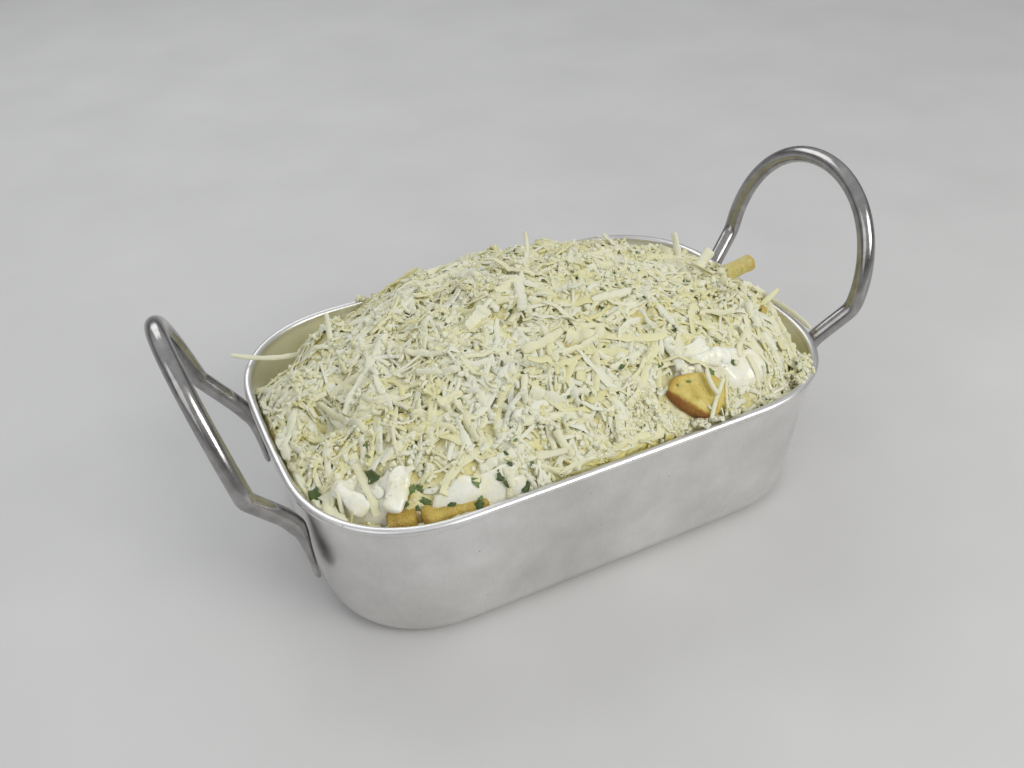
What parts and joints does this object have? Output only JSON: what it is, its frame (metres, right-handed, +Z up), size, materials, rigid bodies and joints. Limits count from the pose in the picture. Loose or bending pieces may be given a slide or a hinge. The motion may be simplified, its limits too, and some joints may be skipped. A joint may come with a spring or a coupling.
{
  "type": "cheese fries",
  "caption": "Fries under white sauce and shredded hard cheese with parsley flakes, heaped in an oblong steel serving dish with wire loop handles.",
  "frame": {"origin": "on the surface that the dish stands on, under the middle of the dish", "axes": "+X along the dish towards its right handle, +Y away from the viewer, +Z up"},
  "size_m": [0.203, 0.112, 0.0857],
  "materials": {
    "dish_steel": "satin stainless steel, finely brushed, with small pits and water specks",
    "handle_steel": "polished stainless steel rod",
    "fried_potato": "golden brown fried crust",
    "white_sauce": "wet white cream sauce",
    "grated_cheese": "pale ivory shredded hard cheese with dark green parsley flakes"
  },
  "bodies": {
    "root": {"dish": "dish_steel", "handle_left": "handle_steel", "handle_right": "handle_steel", "fries": "fried_potato", "cream_sauce": "white_sauce", "cheese": "grated_cheese"}
  },
  "joints": []
}
